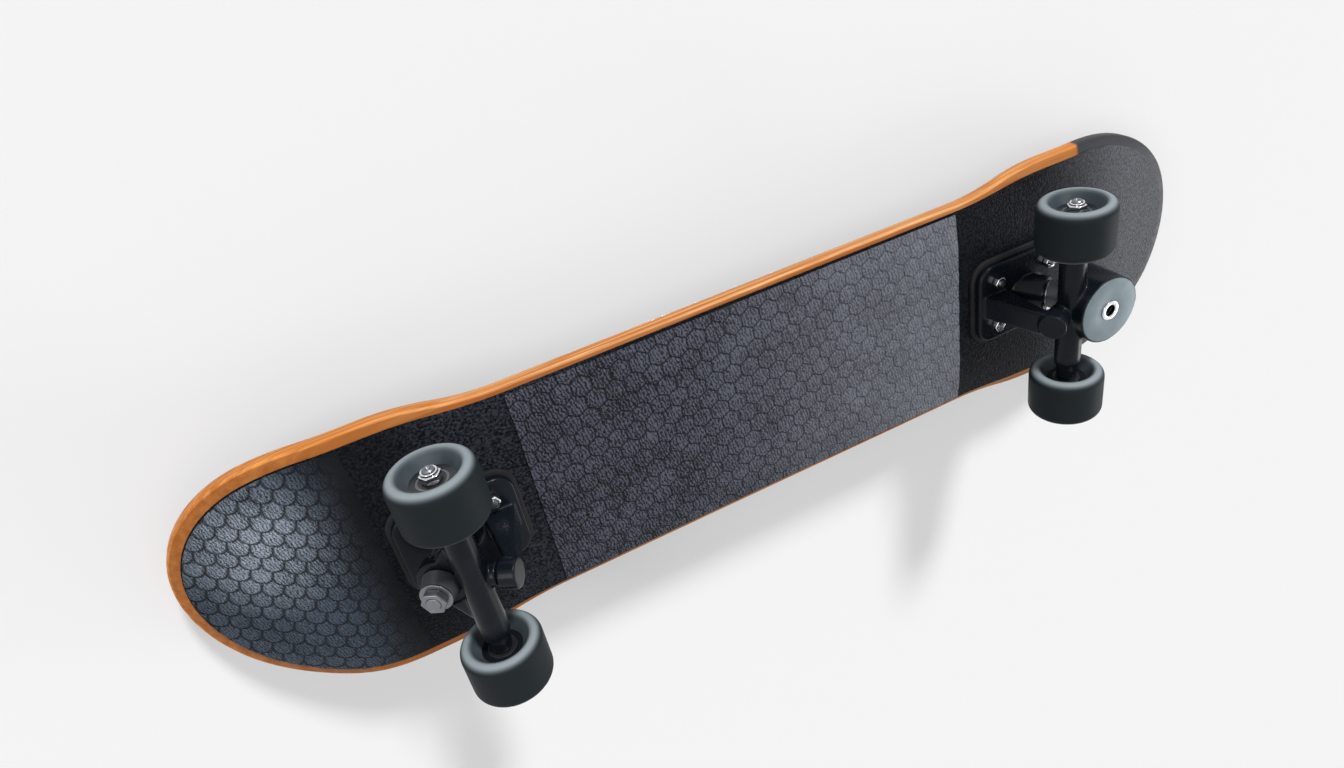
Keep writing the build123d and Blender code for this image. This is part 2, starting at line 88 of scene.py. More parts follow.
def applyModifier(piece, kind, **settings):
    takeUp(piece)
    modifier = piece.modifiers.new(kind.title(), kind)
    for name, value in settings.items():
        setattr(modifier, name, value)
    bpy.ops.object.modifier_apply(modifier=modifier.name)


def smoothShade(piece, angle):
    takeUp(piece)
    bpy.ops.object.shade_smooth_by_angle(angle=math.radians(angle))


weldDistance = 1e-6


def copyNode(node, name):
    piece = bpy.data.objects.new(name, nodes[node].data.copy())
    bpy.context.scene.collection.objects.link(piece)
    takeUp(piece)
    bpy.ops.mesh.customdata_custom_splitnormals_clear()
    editAll(piece)
    bpy.ops.mesh.remove_doubles(threshold=weldDistance)
    leaveEdit()
    return piece


def smoothStep(value):
    value = min(1.0, max(0.0, value))
    return value * value * (3 - 2 * value)


def pointValues(piece, name, values):
    attribute = piece.data.attributes.new(name, "FLOAT", "POINT")
    attribute.data.foreach_set("value", values)


# Extrudes the open rim of a sheet and sets the new points' heights
def dropRim(piece, heightAt):
    work = bmesh.new()
    work.from_mesh(piece.data)
    rim = [edge for edge in work.edges if edge.is_boundary]
    for part in bmesh.ops.extrude_edge_only(work, edges=rim)["geom"]:
        if isinstance(part, bmesh.types.BMVert):
            part.co.z = heightAt(part.co.x, part.co.y)
    work.to_mesh(piece.data)
    work.free()


def dress(piece, material):
    piece.data.materials.clear()
    piece.data.materials.append(material)


def fit(piece, body, slot, *stoodFor):
    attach(piece, body)
    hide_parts(*stoodFor)


# Shader nodes
def addNode(tree, kind, inputs=None, **settings):
    node = tree.nodes.new(kind)
    for name, value in settings.items():
        setattr(node, name, value)
    for key, value in (inputs or {}).items():
        if isinstance(value, bpy.types.NodeSocket):
            tree.links.new(value, node.inputs[key])
        else:
            node.inputs[key].default_value = value
    return node


def maths(tree, operation, *values):
    return addNode(tree, "ShaderNodeMath", dict(enumerate(values)), operation=operation).outputs[0]


def blendColour(tree, factor, first, second, way="MIX"):
    mix = addNode(tree, "ShaderNodeMix", {0: factor, 6: first, 7: second}, data_type="RGBA", blend_type=way)
    return mix.outputs[2]


def ramp(tree, value, low, high, outLow=0.0, outHigh=1.0):
    inputs = {0: value, 1: low, 2: high, 3: outLow, 4: outHigh}
    return addNode(tree, "ShaderNodeMapRange", inputs, interpolation_type="SMOOTHSTEP").outputs[0]


def objectPlace(tree, **placing):
    place = addNode(tree, "ShaderNodeTexCoord").outputs["Object"]
    if not placing:
        return place
    inputs = {key.title(): value for key, value in placing.items()}
    return addNode(tree, "ShaderNodeMapping", {0: place, **inputs}).outputs[0]


def alongBoard(tree):
    return addNode(tree, "ShaderNodeSeparateXYZ", {0: objectPlace(tree)}).outputs[0]


def attributeValue(tree, name):
    return addNode(tree, "ShaderNodeAttribute", attribute_name=name).outputs["Fac"]


def newGroup(name, inputs, outputs):
    group = bpy.data.node_groups.new(name, "ShaderNodeTree")
    for label, value in inputs.items():
        socket = group.interface.new_socket(label, in_out="INPUT", socket_type="NodeSocketFloat")
        socket.default_value = value
    for label in outputs:
        group.interface.new_socket(label, in_out="OUTPUT", socket_type="NodeSocketFloat")
    return group, group.nodes.new("NodeGroupInput"), group.nodes.new("NodeGroupOutput")


def placeGroup(tree, group, **values):
    inputs = {key.replace("_", " "): value for key, value in values.items()}
    return addNode(tree, "ShaderNodeGroup", inputs, node_tree=group)


def newMaterial(name, **values):
    material = bpy.data.materials.new(name)
    material.use_nodes = True
    shader = material.node_tree.nodes["Principled BSDF"]
    for key, value in values.items():
        shader.inputs[key.replace("_", " ")].default_value = value
    return material, material.node_tree, shader


def bump(tree, shader, height, strength, distance):
    inputs = {"Height": height, "Strength": strength, "Distance": distance}
    node = addNode(tree, "ShaderNodeBump", inputs)
    tree.links.new(node.outputs[0], shader.inputs["Normal"])


def feed(tree, shader, **sockets):
    for key, socket in sockets.items():
        tree.links.new(socket, shader.inputs[key.replace("_", " ")])


# Fine and blotchy grain, shared by all the finishes
grain = {
    "Fine": {"Detail": 3.0, "Roughness": 0.6}, "Blotch": {"Detail": 4.0, "Roughness": 0.55},
    "fineSpan": (0.2, 0.8), "blotchSpan": (0.25, 0.8),  # values that the noise takes
}


def makeGrainGroup():
    sizes = {"Fine Scale": 800.0, "Blotch Scale": 30.0}
    group, given, out = newGroup("surface grain", sizes, ("Fine", "Blotch"))
    place = objectPlace(group)
    for label in ("Fine", "Blotch"):
        inputs = {"Vector": place, "Scale": given.outputs[f"{label} Scale"], **grain[label]}
        noise = addNode(group, "ShaderNodeTexNoise", inputs)
        group.links.new(noise.outputs[0], out.inputs[label])
    return group


grainGroup = makeGrainGroup()


def placeGrain(tree, look):
    group = placeGroup(tree, grainGroup, Fine_Scale=look["fine"], Blotch_Scale=look["blotch"])
    return group.outputs["Fine"], group.outputs["Blotch"]


def fineRamp(tree, fine, outLow, outHigh):
    return ramp(tree, fine, *grain["fineSpan"], outLow, outHigh)


def blotchRamp(tree, blotch, outLow=0.0, outHigh=1.0):
    return ramp(tree, blotch, *grain["blotchSpan"], outLow, outHigh)


# Pebbled surface of the sheets
pebble = {"dome": (0.1, 0.7), "speck": (0.86, 0.98)}


def makePebbleGroup():
    group, given, out = newGroup("pressed pebbles", {"Pebble Scale": 600.0}, ("Height", "Speck"))
    place = objectPlace(group)
    cells = addNode(group, "ShaderNodeTexVoronoi", {"Vector": place, "Scale": given.outputs["Pebble Scale"]})
    tone = addNode(group, "ShaderNodeSeparateColor", {0: cells.outputs["Color"]})
    dome = ramp(group, cells.outputs["Distance"], *pebble["dome"], 1.0, 0.0)
    group.links.new(dome, out.inputs["Height"])
    group.links.new(ramp(group, tone.outputs[0], *pebble["speck"]), out.inputs["Speck"])
    return group


# Lathe rings about a node's middle, across the two named axes
def makeTurnedGroup(name, node, axes):
    group, given, out = newGroup(name, {"Ring Pitch": 0.0005}, ("Radius", "Rings"))
    place = addNode(group, "ShaderNodeSeparateXYZ", {0: objectPlace(group)})
    low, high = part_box(node)
    squares = []
    for axis in axes:
        index = "XYZ".index(axis)
        spot = place.outputs[index]
        if axis == "X":
            spot = maths(group, "ABSOLUTE", spot)  # both trucks share it
        offset = maths(group, "SUBTRACT", spot, (low[index] + high[index]) / 2)
        squares.append(maths(group, "MULTIPLY", offset, offset))
    radius = maths(group, "SQRT", maths(group, "ADD", *squares))
    rings = maths(group, "SINE", maths(group, "DIVIDE", radius, given.outputs["Ring Pitch"]))
    group.links.new(radius, out.inputs["Radius"])
    group.links.new(rings, out.inputs["Rings"])
    return group


pebbleGroup = makePebbleGroup()
turnedGroup = makeTurnedGroup("turned about the axle", "front_left_tyre", "XZ")
facedGroup = makeTurnedGroup("faced about the cover", "front_housing_cover", "XY")
print("shared effects made")

# Wood of seven plies, with a painted highlight that turns the edges creamy at the waist, and painted shade
# that blackens the nose edge below the top ply
maple = {
    "light": (0.76, 0.31, 0.075, 1), "dark": (0.47, 0.145, 0.024, 1), "glue": (0.22, 0.06, 0.012, 1),
    "highlightCream": (0.86, 0.55, 0.28, 1), "waistHighlight": (0.12, 0.34), "highlightShare": 0.6,
    "noseShade": (0.035, 0.036, 0.041, 1), "noseShadeSpan": (0.322, 0.326), "noseShadeTop": (0.80, 0.84),
    "plies": 7.0, "crossShare": 0.38, "glueLine": (0.40, 0.5), "glueShare": 0.55,
    "streaks": (9.0, 160.0, 420.0), "streakDetail": 5.0, "streakRoughness": 0.62, "streakSpan": (0.3, 0.72),
    "roughness": (0.54, 0.38), "shine": 0.16, "bump": (0.12, 0.0004),
}


def makeMaple():
    material, tree, shader = newMaterial("honey maple", Specular_IOR_Level=maple["shine"])
    depth = attributeValue(tree, "plyDepth")
    along = alongBoard(tree)
    streak = {"Vector": objectPlace(tree, scale=maple["streaks"]), "Scale": 1.0,
              "Detail": maple["streakDetail"], "Roughness": maple["streakRoughness"]}
    streaks = addNode(tree, "ShaderNodeTexNoise", streak).outputs[0]
    layer = maths(tree, "MULTIPLY", depth, maple["plies"])
    turned = maths(tree, "MODULO", maths(tree, "FLOOR", layer), 2.0)  # every second ply lies crosswise
    line = maths(tree, "ABSOLUTE", maths(tree, "SUBTRACT", maths(tree, "FRACT", layer), 0.5))
    # painted highlight: the wood paler and creamier towards the waist
    waistHighlight = ramp(tree, maths(tree, "ABSOLUTE", along), *maple["waistHighlight"], maple["highlightShare"], 0.0)
    honey = blendColour(tree, waistHighlight, maple["light"], maple["highlightCream"])
    wood = blendColour(tree, ramp(tree, streaks, *maple["streakSpan"]), maple["dark"], honey)
    crossed = blendColour(tree, maths(tree, "MULTIPLY", turned, maple["crossShare"]), wood, maple["dark"])
    glue = ramp(tree, line, *maple["glueLine"], 0.0, maple["glueShare"])
    glued = blendColour(tree, glue, crossed, maple["glue"])
    # painted shade: the nose's rim darkened to near black below the top ply
    below = ramp(tree, depth, *maple["noseShadeTop"], 1.0, 0.0)
    noseShade = maths(tree, "MULTIPLY", ramp(tree, along, *maple["noseShadeSpan"]), below)
    feed(tree, shader, Base_Color=blendColour(tree, noseShade, glued, maple["noseShade"]))
    feed(tree, shader, Roughness=fineRamp(tree, streaks, *maple["roughness"]))
    bump(tree, shader, streaks, *maple["bump"])
    return material


# Grit sheet of the riding side
grit = {
    "dark": (0.012, 0.012, 0.013, 1), "light": (0.035, 0.035, 0.037, 1), "speck": (0.16, 0.16, 0.17, 1),
    "pebbles": 1300.0, "fine": 2200.0, "blotch": 14.0, "dust": (0.3, 0.75), "speckShare": 0.7,
    "roughness": (0.95, 0.62), "shine": 0.35, "bump": (0.9, 0.0005),
}


def makeGrit():
    material, tree, shader = newMaterial("grit", Specular_IOR_Level=grit["shine"])
    pebbles = placeGroup(tree, pebbleGroup, Pebble_Scale=grit["pebbles"])
    fine, blotch = placeGrain(tree, grit)
    ground = blendColour(tree, ramp(tree, blotch, *grit["dust"]), grit["dark"], grit["light"])
    specks = maths(tree, "MULTIPLY", pebbles.outputs["Speck"], grit["speckShare"])
    feed(tree, shader, Base_Color=blendColour(tree, specks, ground, grit["speck"]))
    feed(tree, shader, Roughness=fineRamp(tree, fine, *grit["roughness"]))
    bump(tree, shader, pebbles.outputs["Height"], *grit["bump"])
    return material


# Black sheet of the underside: its grain flecks lit beside the rear truck and dimmed by painted shade away
# from it, and a painted sheen on the nose
sheet = {
    "dark": (0.002, 0.002, 0.003, 1), "light": (0.036, 0.041, 0.054, 1), "noseSheen": (0.145, 0.149, 0.168, 1),
    "pebbles": 460.0, "fine": 520.0, "blotch": 18.0, "nose": (0.27, 0.40), "sheenGrainSpan": (0.35, 1.0),
    "litFlecksAt": -0.19, "flecked": (0.04, 0.10), "shadedFleckShare": 0.3, "fleckSpan": (0.36, 0.68),
    "roughness": (0.62, 0.44), "shine": 0.06, "bump": (0.6, 0.00045),
}


def makeSheet():
    material, tree, shader = newMaterial("pebbled sheet", Specular_IOR_Level=sheet["shine"])
    pebbles = placeGroup(tree, pebbleGroup, Pebble_Scale=sheet["pebbles"])
    fine, blotch = placeGrain(tree, sheet)
    along = alongBoard(tree)
    # painted light and shade: the grain's flecks show fully beside the rear truck and are dimmed away from it
    away = maths(tree, "ABSOLUTE", maths(tree, "SUBTRACT", along, sheet["litFlecksAt"]))
    fleckLight = ramp(tree, away, *sheet["flecked"], 1.0, sheet["shadedFleckShare"])
    tone = maths(tree, "MULTIPLY", ramp(tree, fine, *sheet["fleckSpan"]), fleckLight)
    plain = blendColour(tree, tone, sheet["dark"], sheet["light"])
    # painted sheen: the sheet paler towards the nose, broken up by the grain
    sheenGrain = fineRamp(tree, fine, *sheet["sheenGrainSpan"])
    noseSheenMask = maths(tree, "MULTIPLY", ramp(tree, along, *sheet["nose"]), sheenGrain)
    feed(tree, shader, Base_Color=blendColour(tree, noseSheenMask, plain, sheet["noseSheen"]))
    feed(tree, shader, Roughness=fineRamp(tree, fine, *sheet["roughness"]))
    bump(tree, shader, maths(tree, "ADD", pebbles.outputs["Height"], fine), *sheet["bump"])
    return material


# Pressed sheets with a woven grain: hexagons in the middle, scales on the tail, with painted shade in their
# grooves, painted highlights and painted shade at the pad's end by the truck
pressed = {
    "lean": 0.22, "distortion": 7.0, "detail": 2.0, "detailScale": 2.2, "waveTurns": 20,
    "cloudShare": 0.3, "weaveShare": 0.22, "fleckShare": 0.7, "weaveHeight": 0.6, "grooveShare": 0.9,
    "rougher": 0.12, "smoother": 0.1, "fadedRougher": 0.12, "shaded": (0.009, 0.010, 0.013, 1),
    "bump": (0.6, 0.00045),
}
hexes = {
    "dark": (0.008, 0.008, 0.010, 1), "light": (0.0925, 0.100, 0.133, 1), "grooveShade": (0.004, 0.004, 0.005, 1),
    "highlight": (0.210, 0.223, 0.257, 1), "evened": 0.45, "fine": 520.0, "blotch": 22.0, "span": (0.46, 0.78),
    "twill": 0.0026, "roughness": 0.56, "shine": 0.12,
}
scales = {
    "dark": (0.008, 0.010, 0.014, 1), "light": (0.082, 0.110, 0.150, 1), "grooveShade": (0.003, 0.004, 0.005, 1),
    "highlight": (0.475, 0.540, 0.640, 1), "evened": 0.0, "fine": 900.0, "blotch": 22.0, "span": (0.36, 0.90),
    "twill": 0.0022, "roughness": 0.46, "shine": 0.10,
}


def makeEmbossed(name, look):
    material, tree, shader = newMaterial(name, Specular_IOR_Level=look["shine"])
    grooveShade, shadeFade, highlight = [attributeValue(tree, key) for key in ("grooveShade", "shadeFade", "highlight")]
    fine, blotch = placeGrain(tree, look)
    weave = {
        "Vector": objectPlace(tree, rotation=(0.0, 0.0, pressed["lean"])),
        "Scale": math.tau / pressed["waveTurns"] / look["twill"], "Distortion": pressed["distortion"],
        "Detail": pressed["detail"], "Detail Scale": pressed["detailScale"],
    }
    twill = addNode(tree, "ShaderNodeTexWave", weave).outputs["Fac"]
    cloudy = maths(tree, "MULTIPLY", blotch, pressed["cloudShare"])
    woven = maths(tree, "MULTIPLY", twill, pressed["weaveShare"])
    flecked = maths(tree, "MULTIPLY", fine, pressed["fleckShare"])
    tone = ramp(tree, maths(tree, "ADD", cloudy, maths(tree, "ADD", woven, flecked)), *look["span"])
    # painted highlight: the tops of the hexagons and scales lighter where the highlight mask is set
    deep = blendColour(tree, maths(tree, "MULTIPLY", highlight, look["evened"]), look["dark"], look["highlight"])
    lit = blendColour(tree, highlight, look["light"], look["highlight"])
    top = blendColour(tree, tone, deep, lit)
    # painted shade: the grooves between the hexagons and round the scales darkened
    grooved = blendColour(tree, maths(tree, "MULTIPLY", grooveShade, pressed["grooveShare"]), top, look["grooveShade"])
    # painted shade: where the scales flatten out by the truck, a plain tone darker than the sheet
    plain = blendColour(tree, blotchRamp(tree, blotch), sheet["dark"], pressed["shaded"])
    feed(tree, shader, Base_Color=blendColour(tree, shadeFade, grooved, plain))
    rough, smooth = look["roughness"] + pressed["rougher"], look["roughness"] - pressed["smoother"]
    dulled = maths(tree, "MULTIPLY", shadeFade, pressed["fadedRougher"])
    feed(tree, shader, Roughness=maths(tree, "ADD", fineRamp(tree, fine, rough, smooth), dulled))
    height = maths(tree, "ADD", maths(tree, "MULTIPLY", twill, pressed["weaveHeight"]), fine)
    bump(tree, shader, height, *pressed["bump"])
    return material


# Coated, moulded and rubber parts, by the record's slots
black = {"dark": (0.003, 0.005, 0.008, 1), "light": (0.008, 0.011, 0.016, 1)}
rubber = {"dark": (0.010, 0.010, 0.011, 1), "light": (0.022, 0.022, 0.024, 1)}
cushion = {"dark": (0.050, 0.057, 0.065, 1), "light": (0.078, 0.087, 0.096, 1)}
mottled = {"blotch": 26.0, "rougher": 0.06, "smoother": 0.05, "depth": 0.0002}
mottledLooks = {
    "casting": {"name": "black powder coat", **black, "fine": 420.0, "roughness": 0.25,
                "strength": 0.004, "shine": 0.14},
    "core": {"name": "moulded hub", **black, "fine": 900.0, "roughness": 0.3,
             "strength": 0.06, "shine": 0.5},
    "riser": {"name": "black rubber", **rubber, "fine": 1500.0, "roughness": 0.7,
              "strength": 0.25, "shine": 0.2},
    "shield": {"name": "bearing seal", **rubber, "fine": 1800.0, "roughness": 0.42,
               "strength": 0.1, "shine": 0.5},
    "cup": {"name": "black nylon", **rubber, "fine": 1200.0, "roughness": 0.5,
            "strength": 0.12, "shine": 0.5},
    "bushing": {"name": "grey cushion urethane", **cushion, "fine": 900.0, "roughness": 0.4,
                "strength": 0.08, "shine": 0.5},
}


def makeMottled(look):
    material, tree, shader = newMaterial(look["name"], Specular_IOR_Level=look["shine"])
    fine, blotch = placeGrain(tree, {**mottled, **look})
    feed(tree, shader, Base_Color=blendColour(tree, blotchRamp(tree, blotch), look["dark"], look["light"]))
    rough, smooth = look["roughness"] + mottled["rougher"], look["roughness"] - mottled["smoother"]
    feed(tree, shader, Roughness=fineRamp(tree, fine, rough, smooth))
    bump(tree, shader, fine, look["strength"], mottled["depth"])
    return material


# Wheels: a painted highlight on the lip round the dished face, and a tread darkened with painted shade
tyre = {
    "dark": (0.040, 0.052, 0.061, 1), "light": (0.070, 0.086, 0.097, 1),
    "lip": (0.30, 0.345, 0.37, 1), "lipRadii": (0.0195, 0.0245), "lipShare": 0.85,
    "treadShade": (0.004, 0.007, 0.009, 1), "treadRadii": (0.0258, 0.0296), "treadShare": 0.96,
    "treadRougher": 0.12, "rings": 0.00022, "ringHeight": 0.2, "fine": 1100.0, "blotch": 60.0,
    "roughness": (0.5, 0.36), "shine": 0.06, "bump": (0.12, 0.0002),
}


def makeTyre():
    material, tree, shader = newMaterial("slate urethane", Specular_IOR_Level=tyre["shine"])
    turned = placeGroup(tree, turnedGroup, Ring_Pitch=tyre["rings"])
    fine, blotch = placeGrain(tree, tyre)
    skin = blendColour(tree, blotchRamp(tree, blotch), tyre["dark"], tyre["light"])
    # painted highlight: the lip of the face paler
    lip = ramp(tree, turned.outputs["Radius"], *tyre["lipRadii"], 0.0, tyre["lipShare"])
    lipped = blendColour(tree, lip, skin, tyre["lip"])
    # painted shade: the tread darkened
    treadShade = ramp(tree, turned.outputs["Radius"], *tyre["treadRadii"], 0.0, tyre["treadShare"])
    feed(tree, shader, Base_Color=blendColour(tree, treadShade, lipped, tyre["treadShade"]))
    rolled = maths(tree, "MULTIPLY", treadShade, tyre["treadRougher"])
    feed(tree, shader, Roughness=maths(tree, "ADD", fineRamp(tree, fine, *tyre["roughness"]), rolled))
    rings = maths(tree, "MULTIPLY", turned.outputs["Rings"], tyre["ringHeight"])
    bump(tree, shader, maths(tree, "ADD", fine, rings), *tyre["bump"])
    return material


# Round cover, faced on a lathe
plate = {
    "dark": (0.122, 0.162, 0.182, 1), "light": (0.162, 0.208, 0.228, 1), "metal": 0.4,
    "rings": 0.00016, "ringTone": 0.12, "fine": 1600.0, "blotch": 90.0,
    "roughness": (0.5, 0.34), "bump": (0.15, 0.0001),
}


def makeFacedPlate():
    material, tree, shader = newMaterial("slate anodising", Metallic=plate["metal"])
    faced = placeGroup(tree, facedGroup, Ring_Pitch=plate["rings"])
    fine, blotch = placeGrain(tree, plate)
    lines = maths(tree, "MULTIPLY", faced.outputs["Rings"], plate["ringTone"])
    tone = blotchRamp(tree, maths(tree, "ADD", blotch, lines))
    feed(tree, shader, Base_Color=blendColour(tree, tone, plate["dark"], plate["light"]))
    feed(tree, shader, Roughness=fineRamp(tree, fine, *plate["roughness"]))
    bump(tree, shader, maths(tree, "ADD", faced.outputs["Rings"], fine), *plate["bump"])
    return material


# Bare and plated steel, by the record's slots
metal = {
    "fine": 2600.0, "blotch": 140.0, "tone": (0.82, 1.06), "rougher": 0.08, "smoother": 0.05, "depth": 0.0001,
}
metalLooks = {
    "steel": {"name": "ground steel", "colour": (0.21, 0.218, 0.235, 1), "roughness": 0.36, "rings": 0.00009,
              "strength": 0.12},
    "chrome": {"name": "plated steel", "colour": (0.78, 0.79, 0.81, 1), "roughness": 0.12, "rings": 0.00012,
               "strength": 0.04},
}


def makeMetal(look):
    material, tree, shader = newMaterial(look["name"], Metallic=1.0)
    turned = placeGroup(tree, turnedGroup, Ring_Pitch=look["rings"])
    fine, blotch = placeGrain(tree, metal)
    tone = blotchRamp(tree, blotch, *metal["tone"])
    feed(tree, shader, Base_Color=blendColour(tree, 1.0, look["colour"], tone, "MULTIPLY"))
    rough, smooth = look["roughness"] + metal["rougher"], look["roughness"] - metal["smoother"]
    feed(tree, shader, Roughness=fineRamp(tree, fine, rough, smooth))
    bump(tree, shader, maths(tree, "ADD", turned.outputs["Rings"], fine), look["strength"], metal["depth"])
    return material


looks = {
    "maple": makeMaple(), "grip": makeGrit(), "underside": makeSheet(), "urethane": makeTyre(),
    "panel": makeEmbossed("hexagon sheet", hexes), "tail_pad": makeEmbossed("scale sheet", scales),
    "cover": makeFacedPlate(),
}
for slot, look in mottledLooks.items():
    looks[slot] = makeMottled(look)
for slot, look in metalLooks.items():
    looks[slot] = makeMetal(look)
for row in frame["record"]["subparts"]:
    dress(nodes[row["node"]], looks[row["material_slot"]])
print("finishes made,", len(looks))

# The deck's pressed shape
deckShape = {
    "underside": 0.090, "thickness": 0.011, "flatHalf": 0.046, "concave": 0.290, "kickStart": 0.307,
    "tail": (math.radians(23), 0.160), "nose": (math.radians(9), 0.400),  # kick angle and bend radius
    "smoothed": 30,
}


# Height of the layer that lies depth above the deck's underside
def deckHeight(x, y, depth):
    beyond = abs(y) - deckShape["flatHalf"]
    bowl = deckShape["concave"]
    lift = depth if beyond <= 0 else bowl - math.sqrt((bowl - depth) ** 2 - beyond ** 2)
    out = abs(x) - deckShape["kickStart"]
    angle, radius = deckShape["tail"] if x < 0 else deckShape["nose"]
    if out <= 0:
        return deckShape["underside"] + lift
    inner = radius - lift
    bent = inner * math.sin(angle)
    if out < bent:
        return deckShape["underside"] + radius - math.sqrt(inner ** 2 - out ** 2)
    return deckShape["underside"] + radius - inner * math.cos(angle) + (out - bent) * math.tan(angle)


# Deck, with the plies marked through its thickness
def makeDeck():
    board = copyNode("deck", "deck_board")
    depths = []
    for vertex in board.data.vertices:
        x, y, z = vertex.co
        low = deckHeight(x, y, 0.0)
        high = deckHeight(x, y, deckShape["thickness"])
        depths.append(min(1.0, max(0.0, (z - low) / (high - low))))
    pointValues(board, "plyDepth", depths)
    smoothShade(board, deckShape["smoothed"])
    dress(board, looks["maple"])
    fit(board, "board", "maple", "deck")


makeDeck()
print("deck made")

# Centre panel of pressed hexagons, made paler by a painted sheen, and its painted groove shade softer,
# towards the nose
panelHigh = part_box("centre_panel")[1]
panel = {
    "halfLength": panelHigh[0], "halfWidth": panelHigh[1], "low": 0.0024, "high": 0.00082,  # below the deck
    "across": 0.0155, "grooveHalf": 0.00022, "slope": 0.0007, "relief": 0.0006, "crown": 0.0030,
    "crownRise": 0.00025, "paleFrom": -0.10, "paleTo": 0.22, "softened": 0.7, "weld": 1e-5, "smoothed": 12,
}


def makeHexTile():
    corner = panel["across"] / math.sqrt(3)
    deselectAll()
    bpy.ops.mesh.primitive_circle_add(vertices=6, radius=corner, fill_type="NGON")
    tile = bpy.context.object
    editAll(tile)
    bpy.ops.mesh.inset(thickness=panel["grooveHalf"], depth=0.0)
    bpy.ops.mesh.inset(thickness=panel["slope"], depth=panel["relief"] - panel["crownRise"])
    bpy.ops.mesh.inset(thickness=panel["crown"], depth=panel["crownRise"])
    bpy.ops.mesh.select_all(action="SELECT")
    rowStep = panel["across"] * math.sqrt(3) / 2
    bpy.ops.mesh.duplicate_move(TRANSFORM_OT_translate={"value": (panel["across"] / 2, rowStep, 0)})
    leaveEdit()
    return tile, rowStep


def layTiles(tile, rowStep):
    columns = int(2 * panel["halfLength"] / panel["across"]) + 3
    rows = int(panel["halfWidth"] / rowStep) + 2
    for count, step in ((columns, (panel["across"], 0, 0)), (rows, (0, 2 * rowStep, 0))):
        applyModifier(tile, "ARRAY", count=count, use_relative_offset=False, use_constant_offset=True,
                      constant_offset_displace=step)
    editAll(tile)
    start = (-(columns - 1) * panel["across"] / 2, -(rows - 0.5) * rowStep, 0)
    bpy.ops.transform.translate(value=start)
    bpy.ops.mesh.remove_doubles(threshold=panel["weld"])
    leaveEdit()
    print("hexagons laid out,", columns, "by", 2 * rows)


def cutOutside(piece, halfLength, halfWidth):
    editAll(piece)
    for half, axis in ((halfLength, Vector((1, 0, 0))), (halfWidth, Vector((0, 1, 0)))):
        for outward in (axis, -axis):
            bpy.ops.mesh.select_all(action="SELECT")
            bpy.ops.mesh.bisect(plane_co=outward * half, plane_no=outward, clear_outer=True)
    leaveEdit()


def makePanel():
    piece, rowStep = makeHexTile()
    piece.name = "hexagon_panel"
    layTiles(piece, rowStep)
    cutOutside(piece, panel["halfLength"], panel["halfWidth"])
    floor = panel["low"] - panel["relief"]
    dropRim(piece, lambda x, y: panel["high"] - floor)
    grooveShades, highlights = [], []
    for vertex in piece.data.vertices:
        x, y, rise = vertex.co
        shown = rise / (panel["relief"] - panel["crownRise"])
        # painted sheen: the panel paler towards the nose
        pale = smoothStep((x - panel["paleFrom"]) / (panel["paleTo"] - panel["paleFrom"]))
        # painted shade in the grooves, softened towards the nose
        grooveShades.append(min(1.0, max(0.0, 1 - shown)) * (1 - panel["softened"] * pale))
        highlights.append(pale)
        vertex.co.z = deckHeight(x, y, -floor - rise)
    pointValues(piece, "grooveShade", grooveShades)
    pointValues(piece, "shadeFade", [0.0] * len(grooveShades))
    pointValues(piece, "highlight", highlights)
    editAll(piece)
    bpy.ops.mesh.flip_normals()
    leaveEdit()
    smoothShade(piece, panel["smoothed"])
    dress(piece, looks["panel"])
    fit(piece, "board", "panel", "centre_panel")


makePanel()
print("hexagon panel made")

# Tail pad of round scales that overlap row by row and flatten out towards the truck, where the colour turns
# to painted shade; a painted highlight lies over the middle of the tail
padLow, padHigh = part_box("tail_pad")
pad = {
    "start": -padHigh[0], "endCentre": 0.328, "halfWidth": padHigh[1], "low": 0.0022, "high": 0.00082,
    "pitch": 0.0138, "row": 0.0118, "edge": 0.0017, "relief": 0.0008, "lift": 0.45, "turn": math.radians(112),
    "fadeFrom": 0.362, "leastShown": 0.02, "highlightAt": (-0.380, -0.042), "highlightReach": 0.076,
    "across": 320, "along": 230, "blunt": 0.985,  # grid, and how near its last row comes to the tip
    "smoothed": 40,
}
pad["endLength"] = -padLow[0] - pad["endCentre"]


def padHalfWidth(x):
    past = max(0.0, -x - pad["endCentre"]) / pad["endLength"]
    return pad["halfWidth"] * math.sqrt(max(0.0, 1 - past ** 2))


# Distance inside the outline of the scale that shows at a place, and how far down that scale it is
def scaleAt(x, y):
    half = pad["pitch"] / 2
    tipX, tipY = math.cos(pad["turn"]), math.sin(pad["turn"])
    along = x * tipX + y * tipY
    across = -x * tipY + y * tipX
    first = math.floor((along - half) / pad["row"]) + 1
    outside = half
    for row in (first, first + 1):
        shift = half * (row % 2)
        aside = abs(across - shift - round((across - shift) / pad["pitch"]) * pad["pitch"])
        down = along - row * pad["row"]
        reach = half - (math.hypot(aside, down) if down > 0 else aside)
        if reach > 0:
            return min(reach, outside), (down + pad["row"]) / (half + pad["row"])
        outside = -reach
    return 0.0, 0.0


